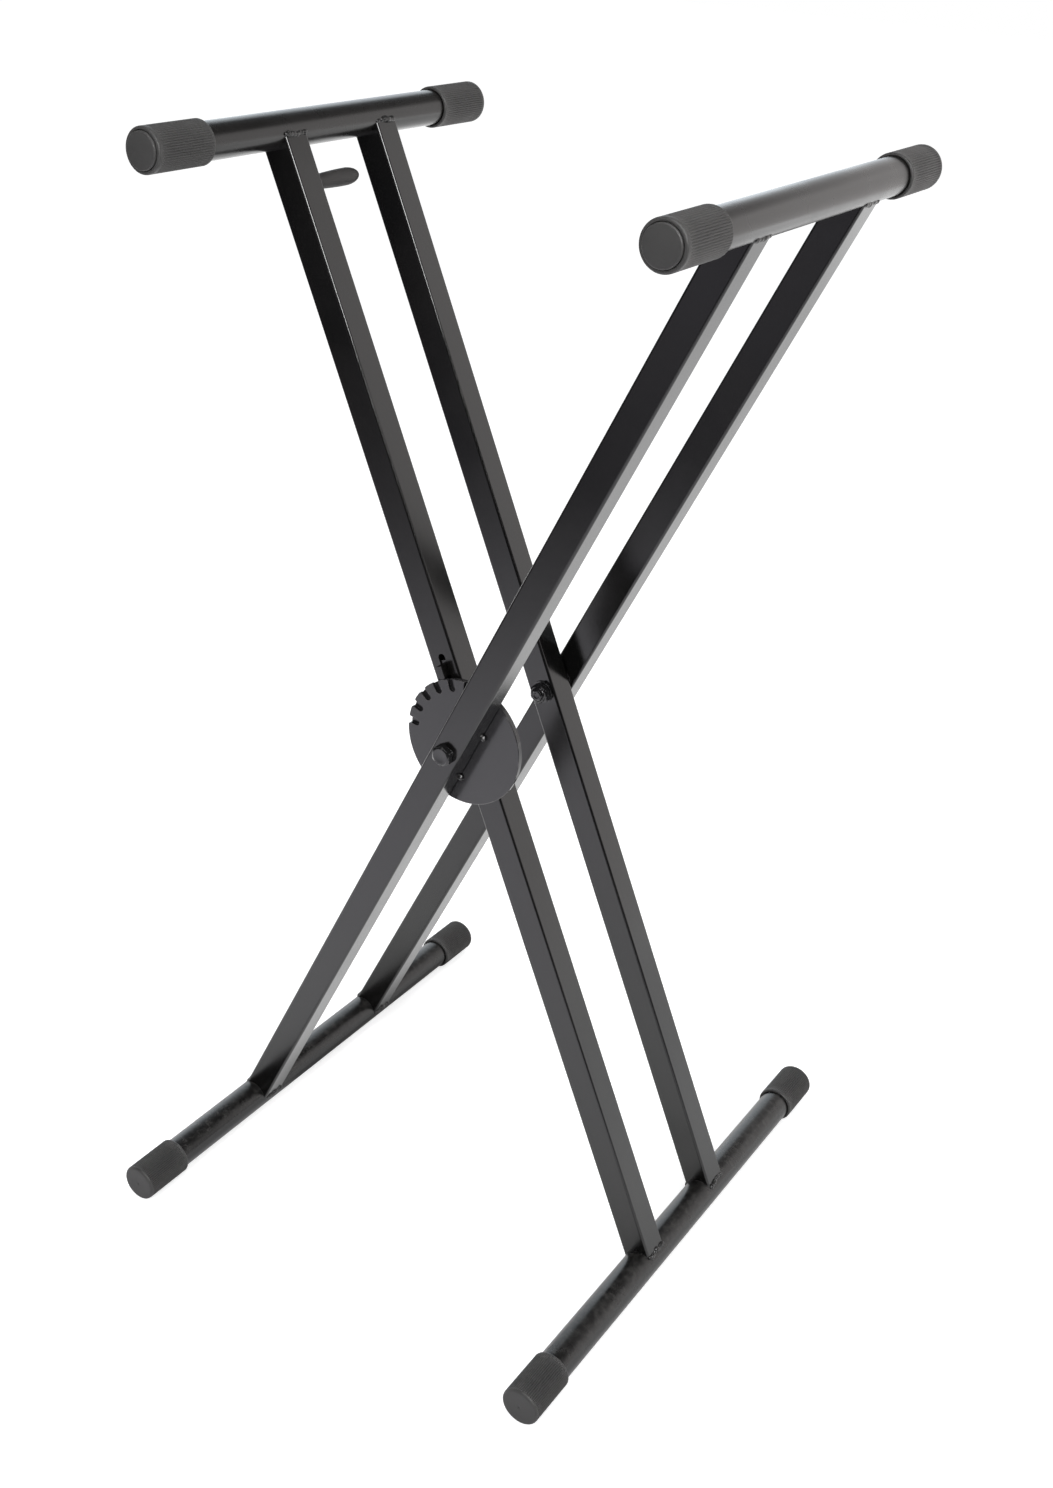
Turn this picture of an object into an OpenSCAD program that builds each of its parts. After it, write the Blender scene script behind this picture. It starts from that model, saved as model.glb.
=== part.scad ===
// Double-braced X keyboard stand. Two crossed frames of square tube turn on
// two pivot bolts. A notched disc on the outer frame and a sprung dog inside
// the front leg of the inner frame set the height. A plain disc behind the
// notched one turns with the inner frame and guides the dog.
// X is the spread of the legs, Y the depth, Z up from the floor. The origin is
// on the floor, midway between the four feet.

/* [Frames] */
// Distance from the pivot to the middle of each round tube
half_len = 490; // [400:1:560]
// Angle between each frame and the vertical, as the stand is shown
lean = 24.73; // [14:0.01:50]
// Depth over the outer faces of the outer frame's two legs
outer_span = 197; // [185:1:240]
// Distance of the legs' middle behind the tubes' middle
legs_back = 3; // [0:0.5:8]

/* [Square legs] */
// Side of the square tube
leg_w = 25; // [23:0.5:26]
// Wall of the square tube
leg_wall = 1.2; // [1:0.1:1.6]
// Outer corner radius of the square tube
leg_r = 2; // [1.8:0.1:2.5]

/* [Round tubes] */
// Outer diameter of the top and foot tubes
tube_d = 28; // [27:0.5:32]
// Wall of the round tubes
tube_wall = 1.2; // [1:0.1:2.5]
// Length of a top tube over its end caps
top_len = 400; // [360:1:460]
// Length of a foot tube over its end caps
foot_len = 504; // [400:1:600]

/* [End caps] */
// Thickness of the rubber sleeve round the tube
cap_wall = 2.5; // [2:0.1:3.5]
// Thickness of the closed end of a cap
cap_end = 5; // [4.5:0.1:8]
// Length of a cap on a top tube
top_cap_len = 60; // [40:1:70]
// Length of a cap on a foot tube
foot_cap_len = 48; // [35:1:70]

/* [Pivot] */
// Diameter of the pivot bolts
bolt_d = 10; // [8:0.5:12]
// Width across the flats of the bolt heads and nuts
hex_af = 16; // [15:0.5:18]
// Height of a bolt head
head_h = 6.4; // [5:0.1:8]
// Height of a lock nut
nut_h = 7; // [6:0.5:11]
// Length of bolt that stands out of its nut
bolt_out = 1.4; // [0.4:0.2:6]
// Diameter of the washer under a nut
washer_d = 20; // [18:0.5:24]
// Thickness of the washer under a nut
washer_t = 1.6; // [1:0.1:3]
// Diameter of the spacer washers between the frames
spacer_d = 22; // [18:0.5:24]
// Thickness of the spacer washer behind the discs
front_spacer_t = 2; // [1:0.1:4]
// Thickness of the spacer washer in the rear joint
rear_spacer_t = 3; // [1:0.1:5]
// Outer diameter of the sleeves in the inner frame's legs
sleeve_d = 14; // [13.5:0.5:16]

/* [Height disc] */
// Radius of the notched disc
disc_r = 54; // [46:0.5:60]
// Thickness of the notched disc
disc_t = 3; // [2:0.5:6]
// Number of height notches
notches = 6; // [3:1:7]
// Angle between the frames at the first, highest notch
first_notch = 23; // [20:0.5:30]
// Angle from one notch to the next
notch_pitch = 17.5; // [14:0.5:20]
// Width of a notch
notch_w = 6.2; // [6.1:0.1:7.5]
// Depth of a notch from the rim
notch_depth = 10.7; // [7:0.1:14]
// Radius of the corners at a notch's mouth
mouth_r = 1.7; // [0.5:0.1:2.5]
// Thickness of the plain guide disc
guide_disc_t = 2.7; // [2:0.1:5]
// Distance of the guide disc's rim inside the notched disc's rim
guide_inset = 0.9; // [0:0.1:3]

/* [Latch] */
// Width of the locking dog's nose
nose_w = 5.6; // [4:0.1:6]
// Height of the locking dog's nose along the leg
nose_h = 10.5; // [8:0.5:14]
// Clearance between the dog's body and the walls of the leg
dog_play = 0.3; // [0.2:0.1:1]
// Height of the dog's body above the nose's underside
dog_h = 13; // [11:0.5:18]
// Travel of the latch above the rim
travel = 6.5; // [3:0.5:7]
// Diameter of the pull rod
rod_d = 6; // [5:0.5:7]
// Bend radius of the pull rod
bend_r = 10; // [9.5:0.5:12]
// Distance of the release grip below the middle of the top tube
grip_drop = 42; // [35:1:100]
// Length of the release grip behind the leg
grip_len = 58; // [40:1:75]
// Greatest diameter of the release grip
grip_d = 13.6; // [12.5:0.1:16]
// Diameter of the release grip at its root
grip_root_d = 10.6; // [10:0.1:12]
// Diameter of the pin that holds the dog on the rod
pin_d = 3; // [2:0.5:3]
// Height of the nylon guides inside the leg
guide_h = 12; // [8:1:20]
// Length of the return spring as the latch rests
spring_len = 38; // [25:1:60]
// Outer diameter of the return spring
spring_d = 11; // [10:0.5:13]
// Wire of the return spring
spring_wire = 1.2; // [0.8:0.1:1.6]
// Turns of the return spring
spring_turns = 8; // [5:1:10]

/* [Clearances] */
// Radial clearance of a turning or sliding fit
fit_gap = 0.05; // [0.02:0.01:0.1]
// Clearance between the dog and the disc or the outer leg
rim_gap = 0.3; // [0.2:0.05:0.6]
// Clearance between the two discs
disc_gap = 0.3; // [0.2:0.05:0.6]
// Play of the dog's nose on each side of its slot
slot_play = 0.6; // [0.3:0.1:1]
// Spare length at the end of a slot
slot_spare = 0.4; // [0.2:0.1:1]
// Radius of a weld bead
weld_r = 1.8; // [1:0.1:2.5]
// Length of a weld between a leg and a round tube
weld_len = 19; // [12:1:20]
// Radius of the tack welds on the disc
tack_r = 2.6; // [1.5:0.1:3.5]
// Length of a tack weld on the disc
tack_len = 6; // [4:0.5:10]
// Places of the tack welds along the leg, above and below the pivot
tack_at = [18.5, -28.5];

/* [Hidden] */
tube_r = tube_d / 2;
cap_r = tube_r + cap_wall;
pivot_z = cap_r + half_len * cos(lean);
front_gap = disc_t + disc_gap + guide_disc_t + front_spacer_t;
rear_gap = rear_spacer_t;
// Middle planes of the four legs
outer_front_y = legs_back - outer_span / 2 + leg_w / 2;
outer_rear_y = legs_back + outer_span / 2 - leg_w / 2;
inner_front_y = outer_front_y + leg_w + front_gap;
inner_rear_y = outer_rear_y - leg_w - rear_gap;
outer_legs = [outer_front_y, outer_rear_y];
inner_legs = [inner_front_y, inner_rear_y];
disc_y = outer_front_y + leg_w / 2;
guide_disc_y = disc_y + disc_t + disc_gap;
guide_disc_r = disc_r - guide_inset;
bore_r = bolt_d / 2 + fit_gap;
// Distance from a tube's middle to where a leg's side face meets the tube
seam = sqrt(pow(tube_r, 2) - pow(leg_w / 2, 2));
// Heights along the inner front leg, measured from the pivot
nose_z = disc_r + rim_gap;
dog_top_z = nose_z + dog_h;
slot_r = nose_w / 2 + slot_play;
slot_corner = sqrt(pow(slot_r, 2) - pow(nose_w / 2, 2));
slot_top_z = nose_z + nose_h + travel + slot_spare - slot_corner;
slot_low_z = nose_z - notch_depth - rim_gap + slot_corner - slot_spare;
nose_y = disc_y + rim_gap;
seat_z = dog_top_z + spring_len;
grip_at = half_len - grip_drop;
grip_slot_r = rod_d / 2 + slot_play;
grip_low_z = grip_at - notch_depth - rim_gap;
upper_guide_z = grip_low_z - bend_r - guide_h;
leg_back_y = inner_front_y + leg_w / 2;
hollow_w = leg_w - 2 * leg_wall;
hollow_r = leg_r - leg_wall;
dog_w = hollow_w - 2 * dog_play;
grip_gap = 0.5;
hex_r = hex_af / 2 / cos(30);
head_bevel = 0.12 * hex_af / 2;
ring_steps = 10;
ring_sides = 6;

STEEL = [0.13, 0.13, 0.14];
ZINC = [0.34, 0.34, 0.35];
RUBBER = [0.22, 0.22, 0.22];
NYLON = [0.82, 0.81, 0.78];

// The two frames, each drawn upright with its pivot at the origin
module outer_frame() { translate([0, 0, pivot_z]) rotate([0, lean, 0]) children(); }
module inner_frame() { translate([0, 0, pivot_z]) rotate([0, -lean, 0]) children(); }

// Turns a shape drawn along Z so that it runs along Y
module along_y() { rotate([-90, 0, 0]) children(); }

module rounded_square(w, r) {
    square([w - 2 * r, w], center = true);
    square([w, w - 2 * r], center = true);
    for (x = [-1, 1], y = [-1, 1]) translate([x, y] * (w / 2 - r)) circle(r = r, $fn = 32);
}

// Solid outline of a leg, with its ends cut to sit on the round tubes
module leg_outline() {
    difference() {
        translate([0, 0, -half_len]) linear_extrude(2 * half_len) rounded_square(leg_w, leg_r);
        for (s = [-1, 1]) translate([0, -leg_w / 2 - 1, s * half_len])
            along_y() cylinder(r = tube_r, h = leg_w + 2, $fn = 64);
    }
}

module leg(bore) {
    difference() {
        leg_outline();
        translate([0, 0, -half_len - 1]) linear_extrude(2 * half_len + 2)
            rounded_square(hollow_w, hollow_r);
        translate([0, -leg_w / 2 - 1, 0]) along_y() cylinder(r = bore, h = leg_w + 2, $fn = 48);
    }
}

// Slot with round ends through one wall, from low to high along the leg
module wall_slot(r, low, high, y) {
    depth = 2 * leg_wall + leg_r;
    for (z = [low, high]) translate([0, y - depth / 2, z]) along_y() cylinder(r = r, h = depth, $fn = 48);
    translate([-r, y - depth / 2, low]) cube([2 * r, depth, high - low]);
}

module round_tube(length) {
    translate([0, -length / 2, 0]) along_y() difference() {
        cylinder(r = tube_r, h = length, $fn = 64);
        translate([0, 0, -1]) cylinder(r = tube_r - tube_wall, h = length + 2, $fn = 64);
    }
}

module frame_welds(legs) {
    for (y = legs, s = [-1, 1], side = [-1, 1]) difference() {
        translate([side * leg_w / 2, y - weld_len / 2, s * (half_len - seam)])
            along_y() cylinder(r = weld_r, h = weld_len, $fn = 24);
        translate([0, y, 0]) leg_outline();
        translate([0, y - leg_w, s * half_len]) along_y() cylinder(r = tube_r, h = 2 * leg_w, $fn = 64);
    }
}

// Points of a quarter-round edge, centred at c, from angle a to a + 90
function corner(c, r, a, n = 5) = [for (i = [0:n]) c + r * [cos(a + 90 * i / n), sin(a + 90 * i / n)]];

// End caps, drawn with the mouth at z = 0 and the closed end up
module cap_shell(length, outline) {
    lip = 0.8;
    rotate_extrude($fn = 72) polygon(concat(
        [[tube_r + lip, 0], [cap_r - lip, 0], [cap_r, lip]], outline,
        [[0, length - cap_end], [tube_r, length - cap_end], [tube_r, lip]]));
}

module top_cap() {
    edge = 1.6;
    step = 2.4;
    groove = 0.9;
    puck_r = cap_r - edge - groove;
    rim_z = top_cap_len - step;
    color(RUBBER) cap_shell(top_cap_len, concat(
        corner([cap_r - edge, rim_z - edge], edge, 0),
        [[puck_r, rim_z - step / 2]],
        corner([puck_r - edge, top_cap_len - 0.5 - edge], edge, 0),
        [[puck_r / 2, top_cap_len - 0.15], [0, top_cap_len]]));
}

module foot_cap() {
    edge = 3.4;
    gate_r = 0.9;
    color(RUBBER) cap_shell(foot_cap_len, concat(
        corner([cap_r - edge, foot_cap_len - edge], edge, 0),
        [[gate_r, foot_cap_len - 0.3], [gate_r, foot_cap_len - 0.9], [0, foot_cap_len - 0.9]]));
}

// Puts a cap on the front (-1) or rear (1) end of a tube of the given length
module on_end(end, length, cap_len) {
    translate([0, end * (length / 2 - cap_len), 0]) rotate([-90 * end, 0, 0]) children();
}

module outer_leg_front() { color(STEEL) outer_frame() translate([0, outer_front_y, 0]) leg(bore_r); }

module outer_leg_rear() { color(STEEL) outer_frame() translate([0, outer_rear_y, 0]) leg(bore_r); }

module outer_top_tube() {
    color(STEEL) outer_frame() translate([0, 0, half_len]) round_tube(top_len - 2 * cap_end);
}

module outer_foot_tube() {
    color(STEEL) outer_frame() translate([0, 0, -half_len]) round_tube(foot_len - 2 * cap_end);
}

module outer_frame_welds() { color(STEEL) outer_frame() frame_welds(outer_legs); }

module outer_top_cap(end) {
    outer_frame() translate([0, 0, half_len]) on_end(end, top_len, top_cap_len) top_cap();
}

module outer_foot_cap(end) {
    outer_frame() translate([0, 0, -half_len]) on_end(end, foot_len, foot_cap_len) foot_cap();
}

// Round plate with a bore for the pivot bolt and bevelled rims, drawn from z = 0
module plate(r, thickness) {
    bevel = 0.4;
    rotate_extrude($fn = 96) polygon([[bore_r, 0], [r - bevel, 0], [r, bevel],
        [r, thickness - bevel], [r - bevel, thickness], [bore_r, thickness]]);
}

// Outline of a notch in a rim of radius r at the top, with rounded corners at its mouth
module notch_outline(r, w, low) {
    mouth_x = w / 2 + mouth_r;
    mouth_y = sqrt(pow(r - mouth_r, 2) - pow(mouth_x, 2));
    out = (r + 2) / (r - mouth_r);
    translate([0, low + w / 2]) circle(r = w / 2, $fn = 32);
    translate([-w / 2, low + w / 2]) square([w, r + 1 - low - w / 2]);
    difference() {
        polygon([[-mouth_x, mouth_y], [mouth_x, mouth_y], [mouth_x, mouth_y] * out, [-mouth_x, mouth_y] * out]);
        for (x = [-1, 1]) translate([x * mouth_x, mouth_y]) circle(r = mouth_r, $fn = 32);
    }
}

// Cuts a notch through a plate of the given thickness at y = 0
module notch_cut(r, w, low, thickness) {
    translate([0, thickness + 1, 0]) rotate([90, 0, 0]) linear_extrude(thickness + 2) notch_outline(r, w, low);
}

// Notched disc, welded to the back of the outer front leg
module height_disc() {
    color(STEEL) outer_frame() translate([0, disc_y, 0]) difference() {
        along_y() plate(disc_r, disc_t);
        for (i = [0:notches - 1]) rotate([0, -first_notch - i * notch_pitch, 0])
            notch_cut(disc_r, notch_w, disc_r - notch_depth, disc_t);
    }
}

// Plain disc that turns with the inner frame, with one slot for the dog's nose
module guide_disc() {
    color(STEEL) inner_frame() translate([0, guide_disc_y, 0]) difference() {
        along_y() plate(guide_disc_r, guide_disc_t);
        notch_cut(guide_disc_r, 2 * slot_r, slot_low_z - slot_r, guide_disc_t);
    }
}

module disc_welds() {
    color(STEEL) outer_frame() for (z = tack_at, side = [-1, 1]) difference() {
        translate([side * leg_w / 2, disc_y, z - tack_len / 2]) cylinder(r = tack_r, h = tack_len, $fn = 24);
        translate([0, outer_front_y, 0]) cube([leg_w, leg_w, 2 * disc_r], center = true);
        translate([0, disc_y + disc_t / 2, 0]) cube([2 * disc_r, disc_t, 2 * disc_r], center = true);
    }
}

// Hexagon with bevelled corners on its upper side, drawn from z = 0
module hex_block(height) {
    intersection() {
        cylinder(r = hex_r, h = height, $fn = 6);
        rotate_extrude($fn = 48) polygon([[0, 0], [hex_r + 1, 0], [hex_r + 1, height - head_bevel - 1 / 2],
            [hex_af / 2 - 0.3, height], [0, height]]);
    }
}

// Bolt drawn with its head above z = 0 and its shank below
module bolt(shank) {
    color(ZINC) {
        hex_block(head_h);
        translate([0, 0, -shank]) cylinder(r = bolt_d / 2, h = shank, $fn = 48);
    }
}

function stack(gap) = 2 * leg_w + gap + washer_t + nut_h + bolt_out;

module pivot_bolt_front() {
    translate([0, outer_front_y - leg_w / 2, pivot_z]) rotate([90, 0, 0]) bolt(stack(front_gap));
}

module pivot_bolt_rear() {
    translate([0, outer_rear_y + leg_w / 2, pivot_z]) rotate([-90, 0, 0]) bolt(stack(rear_gap));
}

// Places its children on the inner faces of the inner frame's legs, pointing inwards
module on_nut_faces() {
    translate([0, inner_front_y + leg_w / 2, pivot_z]) rotate([-90, 0, 0]) children();
    translate([0, inner_rear_y - leg_w / 2, pivot_z]) rotate([90, 0, 0]) children();
}

module ring(outer_r, inner_r, height) {
    difference() {
        cylinder(r = outer_r, h = height, $fn = 48);
        translate([0, 0, -1]) cylinder(r = inner_r, h = height + 2, $fn = 48);
    }
}

module pivot_nuts() {
    color(ZINC) on_nut_faces() translate([0, 0, washer_t]) difference() {
        hex_block(nut_h);
        translate([0, 0, -1]) cylinder(r = bolt_d / 2, h = nut_h + 2, $fn = 48);
    }
}

module nut_washers() { color(ZINC) on_nut_faces() ring(washer_d / 2, bore_r, washer_t); }

module spacer_washers() {
    color(ZINC) translate([0, 0, pivot_z]) {
        translate([0, guide_disc_y + guide_disc_t, 0]) along_y() ring(spacer_d / 2, bore_r, front_spacer_t);
        translate([0, inner_rear_y + leg_w / 2, 0]) along_y() ring(spacer_d / 2, bore_r, rear_spacer_t);
    }
}

// Front leg of the inner frame, with the dog's slot in front and the grip's slot behind
module inner_leg_front() {
    color(STEEL) inner_frame() translate([0, inner_front_y, 0]) difference() {
        leg(sleeve_d / 2);
        wall_slot(slot_r, slot_low_z, slot_top_z, -leg_w / 2);
        wall_slot(grip_slot_r, grip_low_z, grip_at + travel, leg_w / 2);
    }
}

module inner_leg_rear() { color(STEEL) inner_frame() translate([0, inner_rear_y, 0]) leg(sleeve_d / 2); }

module inner_top_tube() {
    color(STEEL) inner_frame() translate([0, 0, half_len]) round_tube(top_len - 2 * cap_end);
}

module inner_foot_tube() {
    color(STEEL) inner_frame() translate([0, 0, -half_len]) round_tube(foot_len - 2 * cap_end);
}

module inner_frame_welds() { color(STEEL) inner_frame() frame_welds(inner_legs); }

module inner_top_cap(end) {
    inner_frame() translate([0, 0, half_len]) on_end(end, top_len, top_cap_len) top_cap();
}

module inner_foot_cap(end) {
    inner_frame() translate([0, 0, -half_len]) on_end(end, foot_len, foot_cap_len) foot_cap();
}

module pivot_sleeves() {
    color(ZINC) for (y = inner_legs) translate([0, y - leg_w / 2, pivot_z])
        along_y() ring(sleeve_d / 2, bore_r, leg_w);
}

// Nylon guides for the pull rod. The lower one is the spring's seat
module rod_guides() {
    color(NYLON) inner_frame() for (z = [seat_z, upper_guide_z]) translate([0, inner_front_y, z]) difference() {
        linear_extrude(guide_h) rounded_square(hollow_w, hollow_r);
        translate([0, 0, -1]) cylinder(r = rod_d / 2 + fit_gap, h = guide_h + 2, $fn = 32);
    }
}

// Rod from the dog up to the bend, and out through the rear slot into the grip
module pull_rod() {
    rod_r = rod_d / 2;
    reach = leg_back_y + grip_gap + grip_len - rod_d - inner_front_y - bend_r;
    color(ZINC) inner_frame() translate([0, inner_front_y, 0]) difference() {
        union() {
            translate([0, 0, nose_z]) cylinder(r = rod_r, h = grip_at - bend_r - nose_z, $fn = 32);
            translate([0, bend_r, grip_at - bend_r]) rotate([90, 0, -90])
                rotate_extrude(angle = 90, $fn = 64) translate([bend_r, 0]) circle(r = rod_r, $fn = 32);
            translate([0, bend_r, grip_at]) along_y() cylinder(r = rod_r, h = reach, $fn = 32);
        }
        translate([0, 0, nose_z + dog_h / 2]) rotate([0, 90, 0])
            cylinder(r = pin_d / 2, h = rod_d + 2, center = true, $fn = 24);
    }
}

// Rubber grip, fatter towards its round end
module release_grip() {
    root_r = grip_root_d / 2;
    fat_r = grip_d / 2;
    fat_z = 0.72 * grip_len;
    steps = 8;
    bulge = [for (i = [0:steps]) [root_r + (fat_r - root_r) * sin(90 * i / steps), 2 + (fat_z - 2) * i / steps]];
    tip = [for (i = [1:steps]) [fat_r * cos(90 * i / steps), fat_z + (grip_len - fat_z) * sin(90 * i / steps)]];
    color(RUBBER) inner_frame() translate([0, leg_back_y + grip_gap, grip_at]) along_y()
        rotate_extrude($fn = 48) polygon(concat(
            [[rod_d / 2, 0], [root_r + 0.4, 0], [root_r + 0.4, 1.6]], bulge, tip,
            [[0, grip_len - rod_d], [rod_d / 2, grip_len - rod_d]]));
}

// Dog: a body that slides in the leg and a nose that stands out of the slot
module locking_dog() {
    bevel = 0.7;
    nose_top = nose_z + nose_h;
    color(ZINC) inner_frame() difference() {
        union() {
            translate([0, inner_front_y, nose_z]) linear_extrude(dog_h) rounded_square(dog_w, hollow_r + 0.4);
            translate([0, inner_front_y, 0]) rotate([90, 0, 0])
                linear_extrude(inner_front_y - nose_y) polygon([[-nose_w / 2, nose_top], [nose_w / 2, nose_top],
                    [nose_w / 2, nose_z + bevel], [nose_w / 2 - bevel, nose_z],
                    [bevel - nose_w / 2, nose_z], [-nose_w / 2, nose_z + bevel]]);
        }
        translate([0, inner_front_y, nose_z - 1]) cylinder(r = rod_d / 2, h = dog_h + 2, $fn = 32);
        translate([0, inner_front_y, nose_z + dog_h / 2]) rotate([0, 90, 0])
            cylinder(r = pin_d / 2, h = dog_w + 2, center = true, $fn = 24);
    }
}

module dog_pin() {
    color(ZINC) inner_frame() translate([0, inner_front_y, nose_z + dog_h / 2])
        rotate([0, 90, 0]) cylinder(r = pin_d / 2, h = dog_w, center = true, $fn = 24);
}

// Return spring: one wire wound up the rod from the dog to the lower guide
function coil_point(a, b) = let (r = spring_d / 2 - spring_wire / 2 + spring_wire / 2 * cos(b))
    [r * cos(a), r * sin(a), (spring_len - spring_wire - 0.2) * a / (360 * spring_turns)
        + spring_wire / 2 + 0.1 + spring_wire / 2 * sin(b)];

module return_spring() {
    rings = spring_turns * ring_steps;
    points = [for (i = [0:rings], j = [0:ring_sides - 1]) coil_point(i * 360 / ring_steps, j * 360 / ring_sides)];
    side = [for (i = [0:rings - 1], j = [0:ring_sides - 1])
        let (k = (j + 1) % ring_sides, a = i * ring_sides, b = a + ring_sides)
        each [[a + j, b + j, b + k], [a + j, b + k, a + k]]];
    low_end = [for (j = [1:ring_sides - 2]) [0, j, j + 1]];
    last = rings * ring_sides;
    high_end = [for (j = [1:ring_sides - 2]) [last, last + j + 1, last + j]];
    color(ZINC) inner_frame() translate([0, inner_front_y, dog_top_z])
        polyhedron(points, concat(side, low_end, high_end));
}

outer_leg_front();
outer_leg_rear();
outer_top_tube();
outer_foot_tube();
outer_frame_welds();
outer_top_cap(-1);  // outer_top_cap_front
outer_top_cap(1);  // outer_top_cap_rear
outer_foot_cap(-1);  // outer_foot_cap_front
outer_foot_cap(1);  // outer_foot_cap_rear
height_disc();
disc_welds();
pivot_bolt_front();
pivot_bolt_rear();
pivot_nuts();
nut_washers();
spacer_washers();
guide_disc();
inner_leg_front();
inner_leg_rear();
inner_top_tube();
inner_foot_tube();
inner_frame_welds();
inner_top_cap(-1);  // inner_top_cap_front
inner_top_cap(1);  // inner_top_cap_rear
inner_foot_cap(-1);  // inner_foot_cap_front
inner_foot_cap(1);  // inner_foot_cap_rear
pivot_sleeves();
rod_guides();
pull_rod();
release_grip();
locking_dog();
dog_pin();
return_spring();
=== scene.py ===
"""Looks of a black folding keyboard stand with rubber end caps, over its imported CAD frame."""

import math

import bmesh
import bpy
from mathutils import Matrix, Vector


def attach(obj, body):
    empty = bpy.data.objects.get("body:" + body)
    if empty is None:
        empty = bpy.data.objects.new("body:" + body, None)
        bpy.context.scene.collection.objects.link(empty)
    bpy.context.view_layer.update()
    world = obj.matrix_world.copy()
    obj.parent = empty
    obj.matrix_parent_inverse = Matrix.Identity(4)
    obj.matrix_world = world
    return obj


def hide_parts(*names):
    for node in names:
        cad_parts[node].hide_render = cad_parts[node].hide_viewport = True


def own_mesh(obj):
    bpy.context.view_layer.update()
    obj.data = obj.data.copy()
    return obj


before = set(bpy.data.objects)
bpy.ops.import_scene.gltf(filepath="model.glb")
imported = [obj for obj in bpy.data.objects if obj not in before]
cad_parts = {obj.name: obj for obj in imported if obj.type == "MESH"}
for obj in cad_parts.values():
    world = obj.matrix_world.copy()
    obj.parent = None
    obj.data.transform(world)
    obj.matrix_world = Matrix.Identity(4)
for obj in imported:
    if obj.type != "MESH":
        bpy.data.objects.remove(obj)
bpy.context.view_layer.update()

# Sizes of the two frames, in metres, as in the part's source
LEAN = math.radians(24.73)
HALF_LEN = 0.490
LEG_W = 0.025
TUBE_R = 0.014
TUBE_WALL = 0.0012
TOP_LEN = 0.400
FOOT_LEN = 0.504
OUTER_LEGS_Y = (-0.083, 0.089)
INNER_LEGS_Y = (-0.050, 0.061)

# Rubber caps, and how thick their closed end is
CAP_R = 0.0165
TOP_CAP_LEN = 0.060
FOOT_CAP_LEN = 0.048
CAP_END = 0.005

# Pivot bolts: how far their ends stand out of the nuts, and the width of the hexagons across flats
BOLT_R = 0.005
BOLT_OUT = 0.0014
HEX_AF = 0.016
HEAD_H = 0.0064
NUT_H = 0.007
WASHER_T = 0.0016

# Latch: the grip's distance from the top tube's axis, its length, the pull rod and the spring
GRIP_DROP = 0.042
GRIP_LEN = 0.058
ROD_R = 0.003
SPRING_LOW = 0.0673
SPRING_LEN = 0.038
SPRING_R = 0.0049
SPRING_WIRE = 0.0012
SPRING_TURNS = 8

# Height of the pivots, the plane of the height disc's front, and its tack welds' heights above the pivot
PIVOT_Z = CAP_R + HALF_LEN * math.cos(LEAN)
DISC_Y = OUTER_LEGS_Y[0] + LEG_W / 2
TACKS_Z = (0.0185, -0.0285)

# Distance from a round tube's middle to where a leg's side face meets it
SEAM = math.sqrt(TUBE_R**2 - (LEG_W / 2) ** 2)

# Places of the two frames: each is drawn upright about its pivot, then leant
OUTER = Matrix.Translation((0, 0, PIVOT_Z)) @ Matrix.Rotation(LEAN, 4, "Y")
INNER = Matrix.Translation((0, 0, PIVOT_Z)) @ Matrix.Rotation(-LEAN, 4, "Y")
FRAMES = {"outer": OUTER, "inner": INNER}

# The round tubes of each frame: name, length and whether they are above or below the pivot
TUBES = (("top", TOP_LEN, 1), ("foot", FOOT_LEN, -1))

# The two ends of the stand, with the sign of their Y
ENDS = {"front": -1, "rear": 1}


# Camera


def place_camera(where, yaw, pitch, roll, lens, shift):
    """A camera at a point, turned by yaw and pitch in degrees, then rolled about its own axis."""
    yaw, pitch, roll = (math.radians(angle) for angle in (yaw, pitch, roll))
    reach = math.cos(pitch)
    forward = Vector((-math.sin(yaw) * reach, math.cos(yaw) * reach, math.sin(pitch)))
    level = Vector((math.cos(yaw), math.sin(yaw), 0))
    upright = level.cross(forward)
    right = level * math.cos(roll) + upright * math.sin(roll)
    up = upright * math.cos(roll) - level * math.sin(roll)
    data = bpy.data.cameras.new("photo_camera")
    data.lens = lens
    data.sensor_width = 36
    data.shift_x, data.shift_y = shift
    data.clip_start = 0.05
    data.clip_end = 60
    camera = bpy.data.objects.new("photo_camera", data)
    turn = Matrix((right, up, -forward)).transposed()
    camera.matrix_world = Matrix.Translation(where) @ turn.to_4x4()
    bpy.context.scene.collection.objects.link(camera)
    bpy.context.scene.camera = camera


place_camera(
    where=(0.6756, -1.0864, 1.1117), yaw=33.358, pitch=-26.802, roll=2.997,
    lens=41.67, shift=(0.0369, -0.0259))


# Shader helpers


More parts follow.
